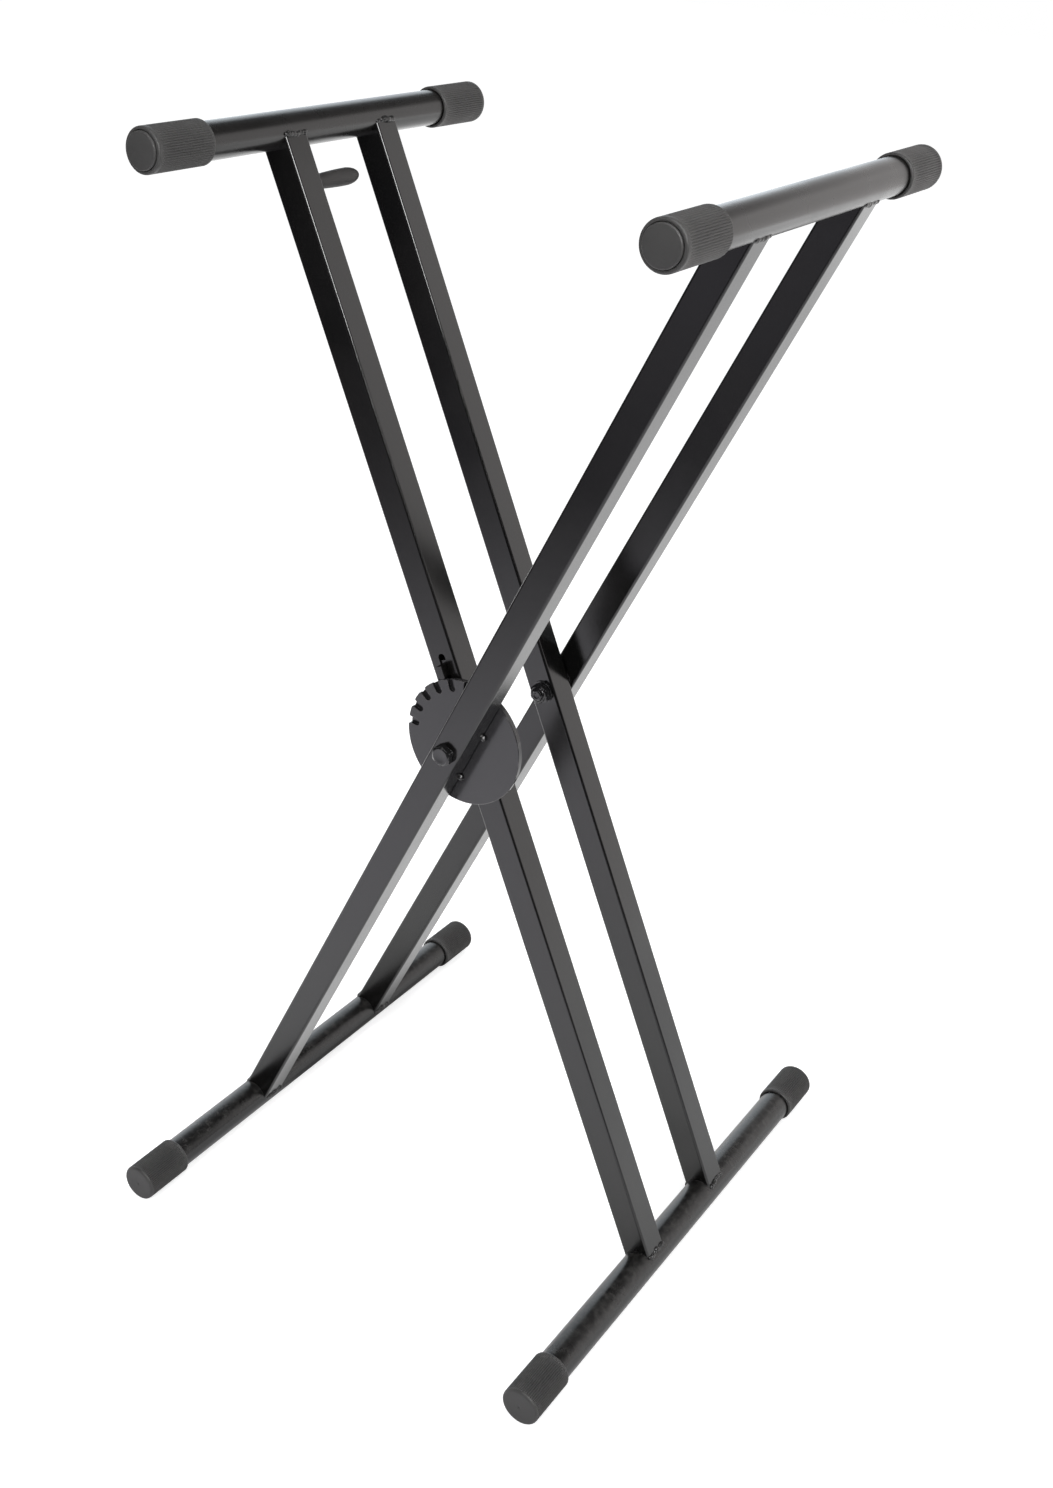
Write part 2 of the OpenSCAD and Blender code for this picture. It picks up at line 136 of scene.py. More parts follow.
class Wires:
    """Adds nodes to a tree: each call takes the node's type, its settings and its inputs.

    An input is given by its name, with underscores for spaces, or by its number, as in i0.
    """

    def __init__(self, tree):
        self.tree = tree

    def __call__(self, kind, settings=None, **inputs):
        node = self.tree.nodes.new(kind)
        for key, value in (settings or {}).items():
            setattr(node, key, value)
        for key, value in inputs.items():
            label = int(key[1:]) if key[1:].isdigit() else key.replace("_", " ")
            self.feed(value, node.inputs[label])
        return node

    def feed(self, value, socket):
        """Links an output to a socket, or sets the socket to a plain value."""
        if isinstance(value, bpy.types.NodeSocket):
            self.tree.links.new(value, socket)
        else:
            socket.default_value = value

    def math(self, operation, a, b=0.0, clamp=False):
        """One step of arithmetic."""
        settings = {"operation": operation, "use_clamp": clamp}
        return self("ShaderNodeMath", settings, i0=a, i1=b).outputs[0]

    def plus(self, a, b):
        return self.math("ADD", a, b)

    def minus(self, a, b):
        return self.math("SUBTRACT", a, b)

    def times(self, first, *others):
        """The product of two or more values."""
        for other in others:
            first = self.math("MULTIPLY", first, other)
        return first

    def ramp(self, value, low, high, out_low=0.0, out_high=1.0):
        """A soft step between two outputs, as the value goes from low to high."""
        limits = {"From_Min": low, "From_Max": high, "To_Min": out_low, "To_Max": out_high}
        settings = {"interpolation_type": "SMOOTHSTEP"}
        return self("ShaderNodeMapRange", settings, Value=value, **limits).outputs["Result"]

    def noise(self, point, scale, detail=2.0, rough=0.5):
        """Cloudy noise from 0 to 1."""
        node = self("ShaderNodeTexNoise", Vector=point, Scale=scale, Detail=detail, Roughness=rough)
        return node.outputs[0]

    def blend(self, factor, a, b):
        """A value between two numbers."""
        return self("ShaderNodeMix", {"data_type": "FLOAT"}, i0=factor, i2=a, i3=b).outputs[0]

    def mix(self, factor, a, b):
        """A blend of two colours."""
        return self("ShaderNodeMix", {"data_type": "RGBA"}, i0=factor, i6=a, i7=b).outputs[2]

    def vector(self, operation, a, **others):
        """One step of vector arithmetic, as a node."""
        return self("ShaderNodeVectorMath", {"operation": operation}, i0=a, **others)

    def split(self, vector):
        """The X, Y and Z of a vector."""
        return self("ShaderNodeSeparateXYZ", Vector=vector).outputs

    def point(self):
        """The shaded point, in its piece's own coordinates."""
        return self("ShaderNodeTexCoord").outputs["Object"]


def shader_group(name, inputs, outputs):
    """An empty shader group of numbers, with its Wires and the sockets at its two ends."""
    group = bpy.data.node_groups.new(name, "ShaderNodeTree")
    for label, value in inputs.items():
        socket = group.interface.new_socket(label, in_out="INPUT", socket_type="NodeSocketFloat")
        socket.default_value = value
    for label in outputs:
        group.interface.new_socket(label, in_out="OUTPUT", socket_type="NodeSocketFloat")
    given = group.nodes.new("NodeGroupInput").outputs
    out = group.nodes.new("NodeGroupOutput").inputs
    return group, Wires(group), given, out


def build_peel_group():
    """Fine ripple of a sprayed or moulded skin, with slow patches of gloss: a height and a mask."""
    group, w, given, out = shader_group(
        "surface_peel", {"Ripple scale": 900.0, "Patch scale": 9.0}, ("Height", "Patches"))
    point = w.point()
    w.feed(w.noise(point, given["Ripple scale"], detail=2.0, rough=0.6), out["Height"])
    patches = w.noise(point, given["Patch scale"], detail=4.0, rough=0.6)
    w.feed(w.ramp(patches, low=0.35, high=0.65), out["Patches"])
    return group


def build_edge_group():
    """Mask of a piece's own edges, broken up by noise: rubbed paint on the frame's edges, and a painted
    highlight on the rims of the height disc and the dark hardware.
    """
    group, w, given, out = shader_group(
        "edge_wear_and_highlight", {"Width": 0.001, "Breakup scale": 120.0, "Amount": 0.5}, ("Mask",))
    rounded = w("ShaderNodeBevel", {"samples": 4}, Radius=given["Width"]).outputs[0]
    flat = w("ShaderNodeNewGeometry").outputs["Normal"]
    likeness = w.vector("DOT_PRODUCT", rounded, i1=flat).outputs["Value"]
    edge = w.ramp(likeness, low=0.99, high=0.86)
    specks = w.noise(w.point(), given["Breakup scale"], detail=5.0, rough=0.65)
    broken = w.ramp(specks, low=0.45, high=0.62)
    w.feed(w.times(edge, broken, given["Amount"]), out["Mask"])
    return group


def build_dust_group():
    """Mask of fine dust that settles on faces that look up."""
    group, w, given, out = shader_group("settled_dust", {"Amount": 0.3, "Speck scale": 160.0}, ("Mask",))
    normal = w("ShaderNodeNewGeometry").outputs["Normal"]
    up = w.ramp(w.split(normal)["Z"], low=0.25, high=1.0)
    specks = w.noise(w.point(), given["Speck scale"], detail=8.0, rough=0.7)
    patchy = w.ramp(specks, low=0.4, high=0.75)
    w.feed(w.times(up, patchy, given["Amount"]), out["Mask"])
    return group


PEEL = build_peel_group()
EDGES = build_edge_group()
DUST = build_dust_group()
DUST_COLOUR = (0.35, 0.34, 0.32)
# How much rougher a finish is where dust covers it
DUST_ROUGHNESS = 0.4


def finish_material(name, colours, rough, ripple, ripple_scale, edge_colour=None, edge_amount=0.0,
                    edge_width=0.001, dust=0.0, **constants):
    """A finish of two close colours, with a rippled skin, a little dust and an edge colour, which is rubbed
    paint on the frame and a painted highlight on the disc and the hardware.

    Colours and rough are pairs, for the two ends of the slow patches. The ripple is a height in metres.
    The constants go straight to the Principled shader's own sockets.
    """
    material = bpy.data.materials.new(name)
    material.use_nodes = True
    material.node_tree.nodes.clear()
    w = Wires(material.node_tree)
    peel = w("ShaderNodeGroup", {"node_tree": PEEL}, Ripple_scale=ripple_scale).outputs
    base = w.mix(peel["Patches"], (*colours[0], 1), (*colours[1], 1))
    gloss = w.ramp(peel["Patches"], 0, 1, *rough)
    # Colour along the edges: rubbed paint on the frame, a painted highlight on the height disc and the dark
    # hardware
    if edge_colour:
        edges = w("ShaderNodeGroup", {"node_tree": EDGES}, Width=edge_width, Amount=edge_amount)
        base = w.mix(edges.outputs["Mask"], base, (*edge_colour, 1))
    if dust:
        settled = w("ShaderNodeGroup", {"node_tree": DUST}, Amount=dust).outputs["Mask"]
        base = w.mix(settled, base, (*DUST_COLOUR, 1))
        gloss = w.math("ADD", gloss, w.times(settled, DUST_ROUGHNESS), clamp=True)
    bump = w("ShaderNodeBump", Strength=1.0, Distance=ripple, Height=peel["Height"]).outputs[0]
    surface = w("ShaderNodeBsdfPrincipled", Base_Color=base, Roughness=gloss, Normal=bump, **constants)
    w("ShaderNodeOutputMaterial", Surface=surface.outputs[0])
    return material


FRAME_PAINT = finish_material(
    "frame_paint", colours=((0.003, 0.003, 0.003), (0.0045, 0.0042, 0.004)), rough=(0.17, 0.22),
    ripple=0.000003, ripple_scale=700,
    edge_colour=(0.03, 0.029, 0.028), edge_amount=0.35, edge_width=0.0012, dust=0.012)
TUBE_PAINT = finish_material(
    "tube_paint", colours=((0.004, 0.0036, 0.0034), (0.006, 0.0053, 0.005)), rough=(0.25, 0.30),
    ripple=0.000003, ripple_scale=700, dust=0.012)
# The foot tubes' paint turns much lighter than the other paints, in patches, on faces that look up
FOOT_PAINT = finish_material(
    "foot_paint", colours=((0.004, 0.0038, 0.0037), (0.006, 0.0056, 0.0054)), rough=(0.25, 0.30),
    ripple=0.000003, ripple_scale=700, dust=0.09)
# The pale edge colour is a painted highlight, a bright line along the discs' rims and notches
DISC_PAINT = finish_material(
    "disc_paint", colours=((0.012, 0.0115, 0.0125), (0.016, 0.0155, 0.0165)), rough=(0.14, 0.18),
    ripple=0.000008, ripple_scale=700,
    edge_colour=(0.16, 0.155, 0.15), edge_amount=0.8, edge_width=0.0008, dust=0.012)
WELD_PAINT = finish_material(
    "weld_paint", colours=((0.010, 0.0096, 0.0096), (0.016, 0.0152, 0.0150)), rough=(0.22, 0.32),
    ripple=0.00003, ripple_scale=500)
CAP_RUBBER = finish_material(
    "cap_rubber", colours=((0.037, 0.036, 0.0355), (0.043, 0.042, 0.041)), rough=(0.44, 0.54),
    ripple=0.00002, ripple_scale=1100, dust=0.06, Specular_IOR_Level=0.4)
GRIP_RUBBER = finish_material(
    "grip_rubber", colours=((0.024, 0.0225, 0.022), (0.030, 0.028, 0.0275)), rough=(0.50, 0.62),
    ripple=0.00002, ripple_scale=900, dust=0.03, Specular_IOR_Level=0.36)
# The pale edge colour is a painted highlight, a thin bright ring on the bevels of the bolt heads, nuts and
# washers
DARK_PLATING = finish_material(
    "dark_plating", colours=((0.008, 0.008, 0.0085), (0.012, 0.0117, 0.0117)), rough=(0.12, 0.20),
    ripple=0.00001, ripple_scale=1200,
    edge_colour=(0.30, 0.30, 0.30), edge_amount=0.7, edge_width=0.0005, IOR=1.5)
BARE_STEEL = finish_material(
    "bare_steel", colours=((0.42, 0.41, 0.40), (0.36, 0.35, 0.34)), rough=(0.24, 0.34),
    ripple=0.00002, ripple_scale=1200, Metallic=1.0)
NYLON = finish_material(
    "natural_nylon", colours=((0.62, 0.60, 0.56), (0.66, 0.64, 0.60)), rough=(0.45, 0.55),
    ripple=0.00003, ripple_scale=900)


# Shape helpers


def geometry_group(name, **sizes):
    """An empty geometry tree that takes sizes and a material, with its Wires and its two ends."""
    group = bpy.data.node_groups.new(name, "GeometryNodeTree")
    group.interface.new_socket("Geometry", in_out="INPUT", socket_type="NodeSocketGeometry")
    for label, value in sizes.items():
        kind = "NodeSocketInt" if isinstance(value, int) else "NodeSocketFloat"
        socket = group.interface.new_socket(label.replace("_", " "), in_out="INPUT", socket_type=kind)
        socket.default_value = value
    group.interface.new_socket("Material", in_out="INPUT", socket_type="NodeSocketMaterial")
    group.interface.new_socket("Geometry", in_out="OUTPUT", socket_type="NodeSocketGeometry")
    given = group.nodes.new("NodeGroupInput").outputs
    out = group.nodes.new("NodeGroupOutput").inputs["Geometry"]
    return group, Wires(group), given, out


def end_tree(w, shape, given, out):
    """Ends a geometry tree with real geometry in the given material."""
    whole = w("GeometryNodeRealizeInstances", Geometry=shape).outputs[0]
    covered = w("GeometryNodeSetMaterial", Geometry=whole, Material=given["Material"]).outputs[0]
    w.feed(covered, out)


def grow(name, mesh, tree, **values):
    """Runs a geometry tree over a mesh, and returns the plain mesh that it makes."""
    source = bpy.data.objects.new(name, mesh)
    bpy.context.scene.collection.objects.link(source)
    modifier = source.modifiers.new("grow", "NODES")
    modifier.node_group = tree
    sockets = {item.name: item.identifier for item in tree.interface.items_tree if item.in_out == "INPUT"}
    for label, value in values.items():
        modifier[sockets[label.replace("_", " ")]] = value
    evaluated = source.evaluated_get(bpy.context.evaluated_depsgraph_get())
    grown = bpy.data.meshes.new_from_object(evaluated)
    source.modifiers.remove(modifier)
    bpy.data.objects.remove(source)
    grown.name = name
    return grown


def piece(name, mesh, body, slot, *stands_for):
    """Puts a finished mesh in the scene as a piece that rides on a body in place of CAD nodes."""
    made = bpy.data.objects.new(name, mesh)
    bpy.context.scene.collection.objects.link(made)
    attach(made, body)
    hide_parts(*stands_for)
    return made


def arc(middle, radius, start, end, steps=6):
    """Points (distance from the axis, height) of an arc, with its angles in degrees."""
    turns = (math.radians(start + (end - start) * k / steps) for k in range(steps + 1))
    return [(middle[0] + radius * math.cos(a), middle[1] + radius * math.sin(a)) for a in turns]


def turned(rows, steps, place=None, crease=35, loop=False):
    """A closed skin over rings round the Z axis, with sharp edges where it turns by more than the crease.

    A row is a point (distance from the axis, height) or a function of the angle that gives one. The
    first and last rows are points on the axis, unless the skin is a loop that closes on itself.
    """
    shape = bmesh.new()
    rings = []
    for row in rows:
        if not callable(row) and row[0] == 0:
            rings.append([shape.verts.new((0, 0, row[1]))])
            continue
        ring = []
        for k in range(steps):
            angle = 2 * math.pi * k / steps
            r, z = row(angle) if callable(row) else row
            ring.append(shape.verts.new((r * math.cos(angle), r * math.sin(angle), z)))
        rings.append(ring)
    pairs = list(zip(rings, rings[1:]))
    if loop:
        pairs.append((rings[-1], rings[0]))
    for low, high in pairs:
        for k in range(steps):
            n = (k + 1) % steps
            corners = [low[k % len(low)], low[n % len(low)], high[n % len(high)], high[k % len(high)]]
            # A ring that is a single point gives a triangle
            shape.faces.new(list(dict.fromkeys(corners)))
    bmesh.ops.recalc_face_normals(shape, faces=shape.faces)
    for face in shape.faces:
        face.smooth = True
    mesh = bpy.data.meshes.new("turned")
    shape.to_mesh(mesh)
    shape.free()
    mesh.set_sharp_from_angle(angle=math.radians(crease))
    if place:
        mesh.transform(place)
    return mesh


def joined(name, meshes, material):
    """One mesh of a single material, made of several."""
    shape = bmesh.new()
    for mesh in meshes:
        shape.from_mesh(mesh)
    whole = bpy.data.meshes.new(name)
    shape.to_mesh(whole)
    shape.free()
    whole.materials.append(material)
    return whole


def facing(y, z=0, towards=1):
    """Place for a shape drawn up the Z axis, which stands it on the plane of that Y.

    It points to the rear, or to the front where towards is -1.
    """
    return Matrix.Translation((0, y, z)) @ Matrix.Rotation(math.radians(-90 * towards), 4, "X")


# Rubber caps

CAP_BORE = TUBE_R + 0.00005
RIBS = 58
# Faces round a cap for each rib
RIB_STEPS = 6
# Where the ribs start above the mouth, and the stretch over which they rise there
RIBS_LOW = 0.0017
RIBS_RISE = 0.0022
# Height at which the ribs of a top cap end
TOP_RIBS_HIGH = TOP_CAP_LEN - 0.0058


def build_rib_tree():
    """Presses grooves into a cap's skin, which leave ribs along it that fade out at both ends."""
    tree, w, given, out = geometry_group(
        "cap_ribs", Ribs=RIBS, Depth=0.0004, Low=0.0, High=0.05, Low_fade=0.001, High_fade=0.001,
        Skin=0.0155)
    x, y, z = w.split(w("GeometryNodeInputPosition").outputs[0])
    turn = w.times(w.math("ARCTAN2", y, x), w.math("DIVIDE", given["Ribs"], 2.0))
    groove = w.minus(1.0, w.math("ABSOLUTE", w.math("SINE", turn)))
    start = w.ramp(z, given["Low"], w.plus(given["Low"], given["Low fade"]))
    end = w.ramp(z, given["High"], w.minus(given["High"], given["High fade"]))
    flat = w("ShaderNodeCombineXYZ", X=x, Y=y).outputs[0]
    reach = w.vector("LENGTH", flat).outputs["Value"]
    outward = w.vector("NORMALIZE", flat).outputs[0]
    skin = w.math("GREATER_THAN", reach, given["Skin"])
    depth = w.times(groove, given["Depth"], w.times(start, end))
    push = w.vector("SCALE", outward, Scale=w.times(depth, skin, -1.0)).outputs[0]
    pressed = w("GeometryNodeSetPosition", Geometry=given["Geometry"], Offset=push).outputs[0]
    end_tree(w, pressed, given, out)
    return tree


RIB_TREE = build_rib_tree()


def cap_mouth():
    """Bore and mouth of a cap, from its closed end inside out to its skin."""
    bevel = 0.0007
    edge = 0.0015
    return [(CAP_BORE, bevel), (CAP_BORE + bevel, 0)] + arc((CAP_R - edge, edge), edge, -90, 0)


def skin_rows(high):
    """Rings up a ribbed skin, close together where the ribs fade."""
    fade = 0.0012
    fade_steps = 4
    middle = high - RIBS_LOW - 2 * fade
    middle_steps = 6
    heights = [RIBS_LOW + fade * k / fade_steps for k in range(fade_steps + 1)]
    heights += [RIBS_LOW + fade + middle * k / middle_steps for k in range(1, middle_steps)]
    heights += [high - fade + fade * k / fade_steps for k in range(fade_steps + 1)]
    return [(CAP_R, z) for z in heights]


def top_cap_rows(length):
    """A stepped end: a shoulder, a groove and a slightly domed puck."""
    edge = 0.0016
    shoulder = length - 0.0022
    puck = CAP_R - edge - 0.0013
    puck_edge = 0.0012
    puck_rim = length - 0.0005
    groove = [(puck + 0.0006, shoulder - 0.0001), (puck + 0.0003, shoulder - 0.0005)]
    groove.append((puck, shoulder - 0.0016))
    # Shares of the puck's radius, and how far its face has fallen there
    dome = ((0.75, 0.00035), (0.5, 0.00015), (0.25, 0.00004))
    return (
        cap_mouth() + skin_rows(TOP_RIBS_HIGH) + arc((CAP_R - edge, shoulder - edge), edge, 0, 90)
        + groove + arc((puck - puck_edge, puck_rim - puck_edge), puck_edge, 0, 90)
        + [(puck * share, length - fall) for share, fall in dome] + [(0, length)])


def foot_cap_rows(length):
    """A round end with the shallow dimple of the mould's gate."""
    edge = 0.0026
    gate_r = 0.0011
    gate_top = length - 0.0002
    gate_depth = 0.0005
    face = [(0.010, length - 0.00005), (0.006, length - 0.00005), (0.003, length - 0.0001)]
    dimple = [(gate_r + 0.0004, length - 0.00014)]
    for angle in (0, 30, 60):
        turn = math.radians(angle)
        dimple.append((gate_r * math.cos(turn), gate_top - gate_depth * math.sin(turn)))
    return (
        cap_mouth() + skin_rows(length - edge)[:-1] + arc((CAP_R - edge, length - edge), edge, 0, 86, 10)
        + face + dimple + [(0, gate_top - gate_depth)])


# Each kind of cap: its outline, its length, how deep its ribs are, where they end and over what stretch
# they fade there, and the least distance from the axis at which the skin has them
TOP_CAP = {
    "rows": top_cap_rows, "length": TOP_CAP_LEN, "depth": 0.0009, "ribs_end": TOP_RIBS_HIGH,
    "fade": 0.0018, "skin": CAP_R - 0.0001}
FOOT_CAP = {
    "rows": foot_cap_rows, "length": FOOT_CAP_LEN, "depth": 0.0013, "ribs_end": FOOT_CAP_LEN - 0.0010,
    "fade": 0.0040, "skin": CAP_R - 0.0030}


def make_cap(name, body, place, rows, length, depth, ribs_end, fade, skin):
    """A hollow cap whose closed end is drawn at the top of the Z axis."""
    floor = length - CAP_END
    inside = [(0, floor), (TUBE_R * 0.5, floor), (CAP_BORE, floor)]
    smooth = turned(inside + rows(length), RIBS * RIB_STEPS)
    ribbed = grow(name, smooth, RIB_TREE, Ribs=RIBS, Depth=depth, Low=RIBS_LOW, Low_fade=RIBS_RISE,
                  High=ribs_end, High_fade=fade, Skin=skin, Material=CAP_RUBBER)
    ribbed.transform(place)
    piece(name + "_ribbed", ribbed, body, "cap_rubber", name)


def make_caps():
    """A cap on each end of the four round tubes."""
    for frame_name, lean in FRAMES.items():
        for end, side in ENDS.items():
            for (which, tube_len, up), kind in zip(TUBES, (TOP_CAP, FOOT_CAP)):
                place = lean @ facing(side * (tube_len / 2 - kind["length"]), up * HALF_LEN, side)
                make_cap(f"{frame_name}_{which}_cap_{end}", frame_name + "_frame", place, **kind)


# Welds


def build_bead_tree():
    """Runs a round bead along each seam, with lumps, a wavy course and tapered ends."""
    ring_gap = 0.0003
    tree, w, given, out = geometry_group(
        "weld_bead", Radius=0.0016, Ripple=0.3, Pitch=0.0024, Wander=0.0004, Taper=0.12)
    line = w("GeometryNodeMeshToCurve", Mesh=given["Geometry"]).outputs[0]
    fine = w("GeometryNodeResampleCurve", {"mode": "LENGTH"}, Curve=line, Length=ring_gap).outputs[0]
    point = w("GeometryNodeInputPosition").outputs[0]
    # Noise moves the course to all sides, by up to about the wander
    drift = w("ShaderNodeTexNoise", Vector=point, Scale=120.0, Detail=2.0).outputs["Color"]
    centred = w.vector("SUBTRACT", drift, i1=(0.5, 0.5, 0.5)).outputs[0]
    offset = w.vector("SCALE", centred, Scale=w.times(given["Wander"], 4.0)).outputs[0]
    moved = w("GeometryNodeSetPosition", Geometry=fine, Offset=offset).outputs[0]
    # Even ripples and uneven lumps
    along = w("GeometryNodeSplineParameter").outputs
    turn = w.times(w.math("DIVIDE", along["Length"], given["Pitch"]), 2 * math.pi)
    ripples = w.times(w.math("SINE", turn), 0.35)
    uneven = w.times(w.minus(w.noise(point, scale=330.0, detail=1.0), 0.5), 4.0)
    swell = w.plus(1.0, w.times(w.plus(ripples, uneven), given["Ripple"]))
    # Both ends taper to a blunt tip
    tip = w.times(given["Taper"], -0.3)
    start = w.ramp(along["Factor"], tip, given["Taper"])
    end = w.ramp(w.minus(1.0, along["Factor"]), tip, given["Taper"])
    size = w.times(swell, w.math("SQRT", w.times(start, end)), given["Radius"])
    section = w("GeometryNodeCurvePrimitiveCircle", Resolution=12, Radius=1.0).outputs[0]
    bead = w("GeometryNodeCurveToMesh", Curve=moved, Profile_Curve=section, Scale=size, Fill_Caps=True)
    smooth = w("GeometryNodeSetShadeSmooth", Geometry=bead.outputs[0]).outputs[0]
    end_tree(w, smooth, given, out)
    return tree


BEAD_TREE = build_bead_tree()


def seam(place, x, y, z, half_y=0.0, half_z=0.0):
    """The two end points of a straight seam, from its middle and half its length."""
    return [place @ Vector((x, y + side * half_y, z + side * half_z)) for side in (-1, 1)]


def seam_mesh(seams):
    """A mesh of loose edges, one for each seam."""
    mesh = bpy.data.meshes.new("seams")
    points = [point for ends in seams for point in ends]
    mesh.from_pydata(points, [(k, k + 1) for k in range(0, len(points), 2)], [])
    return mesh


def make_beads():
    """Beads across each leg's two side faces, where these meet the round tubes."""
    half = LEG_W / 2 - 0.0002
    out = LEG_W / 2 - 0.0007
    up = HALF_LEN - SEAM - 0.0002
    for (frame_name, lean), legs in zip(FRAMES.items(), (OUTER_LEGS_Y, INNER_LEGS_Y)):
        body = frame_name + "_frame"
        seams = [seam(lean, side * out, y, end * up, half_y=half)
                 for y in legs for end in (-1, 1) for side in (-1, 1)]
        beads = grow(body + "_beads", seam_mesh(seams), BEAD_TREE, Radius=0.0024, Ripple=0.13,
                     Pitch=0.0034, Wander=0.0013, Material=WELD_PAINT)
        piece(body + "_beads", beads, body, "frame_paint", body + "_welds")


def blobs(places, half, **sizes):
    """Short beads on the height disc, on both sides of its leg, at (height, distance from the leg)."""
    seams = [seam(OUTER, side * (LEG_W / 2 + out), DISC_Y - 0.0003, z, half_z=half)
             for z, out in places for side in (-1, 1)]
    return grow("tacks", seam_mesh(seams), BEAD_TREE, Pitch=0.02, Material=WELD_PAINT, **sizes)


def make_tacks():
    """The fat tacks that hold the height disc on its leg, with specks of spatter between them."""
    fat = blobs([(z, 0.0006) for z in TACKS_Z], half=0.0026, Radius=0.0032, Ripple=0.08,
                Wander=0.0004, Taper=0.45)
    specks = blobs([(0.0012, 0.0004), (-0.0052, 0.0018)], half=0.0006, Radius=0.0007, Ripple=0.1,
                   Wander=0.0001, Taper=0.45)
    tacks = joined("disc_tacks", [fat, specks], WELD_PAINT)
    piece("disc_tacks", tacks, "outer_frame", "frame_paint", "disc_welds")


# Bolts and nuts

THREAD_PITCH = 0.0015
THREAD_DEPTH = 0.0008
THREAD_LEN = 0.022


def hexagon(angle):
    """Distance from the axis to the side of a hexagon that has a flat towards +X and -X."""
    return HEX_AF / 2 / math.cos((angle + math.pi / 6) % (math.pi / 3) - math.pi / 6)


def hex_chamfer(flat, height, slope):
    """Ring where the bevel round a hexagon's flat face meets its sides."""
    return lambda angle: (hexagon(angle), height + slope * (hexagon(angle) - flat))


def thread(z):
    """Ring of a screw thread at a height."""

    def ring(angle):
        turn = (z / THREAD_PITCH - angle / (2 * math.pi)) % 1
        return BOLT_R - THREAD_DEPTH * abs(2 * turn - 1), z

    return ring


def bolt_rows(shank):
    """A hexagon head with a bevelled, slightly dished face, over a shank whose far end is threaded."""
    face = HEX_AF * 0.42
    dish = HEAD_H - 0.0002
    washer_r = HEX_AF * 0.48
    washer_h = 0.0005
    first = THREAD_LEN - shank
    steps = 8 * round(THREAD_LEN / THREAD_PITCH)
    run = THREAD_LEN - 0.0007
    head = [(0, dish), (face * 0.6, dish), (face * 0.75, HEAD_H), (face, HEAD_H)]
    sides = [hex_chamfer(face, HEAD_H, -0.6), lambda angle: (hexagon(angle), washer_h)]
    neck = [(washer_r, washer_h), (washer_r, 0), (BOLT_R, 0), (BOLT_R, first)]
    threads = [thread(first - run * k / steps) for k in range(1, steps + 1)]
    tip = [(BOLT_R - 0.0011, -shank), (BOLT_R * 0.55, -shank)]
    tip += [(BOLT_R * 0.4, 0.0008 - shank), (0, 0.001 - shank)]
    return head + sides + neck + threads + tip


def nut_rows():
    """A lock nut: a bevelled hexagon under a rounded collar that holds the nylon ring."""
    bore = BOLT_R - 0.0003
    face = HEX_AF * 0.48
    collar = HEX_AF * 0.44
    collar_edge = 0.0016
    hex_top = NUT_H * 0.68
    foot = [(bore, 0.0003), (BOLT_R + 0.0004, 0), (face, 0)]
    sides = [hex_chamfer(face, 0, 0.5), hex_chamfer(face, hex_top, -0.5), (collar + 0.0002, hex_top)]
    top = arc((collar - collar_edge, NUT_H - collar_edge), collar_edge, 0, 90)
    mouth = [(BOLT_R + 0.0003, NUT_H - 0.0001), (bore, NUT_H - 0.0006)]
    return foot + sides + top + mouth


def make_bolts():
    """The two pivot bolts, with their heads on the outer legs and lock nuts on the inner legs."""
    steps = 72
    crease = 28
    nuts = []
    for (end, side), outer_y, inner_y in zip(ENDS.items(), OUTER_LEGS_Y, INNER_LEGS_Y):
        gap = abs(outer_y - inner_y) - LEG_W
        shank = 2 * LEG_W + gap + WASHER_T + NUT_H + BOLT_OUT
        head_place = facing(outer_y + side * LEG_W / 2, PIVOT_Z, side)
        bolt = turned(bolt_rows(shank), steps, head_place, crease)
        bolt.materials.append(DARK_PLATING)
        piece(f"threaded_bolt_{end}", bolt, "outer_frame", "dark_hardware", f"pivot_bolt_{end}")
        nut_place = facing(inner_y - side * (LEG_W / 2 + WASHER_T), PIVOT_Z, -side)
        nuts.append(turned(nut_rows(), steps, nut_place, crease, loop=True))
    both = joined("lock_nuts", nuts, DARK_PLATING)
    piece("lock_nuts", both, "outer_frame", "dark_hardware", "pivot_nuts")


# Grip


def make_grip():
    """A rubber grip that swells towards its round end, with a collar and the mould's parting line."""
    root = 0.0053
    collar = root + 0.0004
    fat = 0.0068
    fat_z = 0.72 * GRIP_LEN
    swell_z = 0.0018
    steps = 20
    steps_round = 96
    rows = [(ROD_R, 0), (root + 0.0002, 0), (collar, 0.0003), (collar, 0.0014), (root, swell_z)]
    for k in range(1, steps + 1):
        turn = math.pi / 2 * k / steps
        rows.append((root + (fat - root) * math.sin(turn), swell_z + (fat_z - swell_z) * k / steps))
    for k in range(1, steps):
        turn = math.pi / 2 * k / steps
        rows.append((fat * math.cos(turn), fat_z + (GRIP_LEN - fat_z) * math.sin(turn)))
    line_rise = 0.00005
    line_end = GRIP_LEN - 0.001
    # Wide enough for one point of each ring on either side
    line_reach = math.sin(0.6 * 2 * math.pi / steps_round)

    def with_parting_line(r, z):
        rise = line_rise if swell_z < z < line_end else 0
        return lambda angle: (r + rise * (abs(math.sin(angle)) < line_reach), z)

    skin = [with_parting_line(r, z) for r, z in rows] + [(0, GRIP_LEN)]
    hole_end = GRIP_LEN - 2 * ROD_R
    hole = [(0, hole_end), (ROD_R, hole_end)]
    leg_gap = 0.0005
    place = INNER @ facing(INNER_LEGS_Y[0] + LEG_W / 2 + leg_gap, HALF_LEN - GRIP_DROP)
    grip = turned(hole + skin, steps_round, place)
    grip.materials.append(GRIP_RUBBER)
    piece("moulded_grip", grip, "latch", "grip_rubber", "release_grip")


# Round tubes and spring


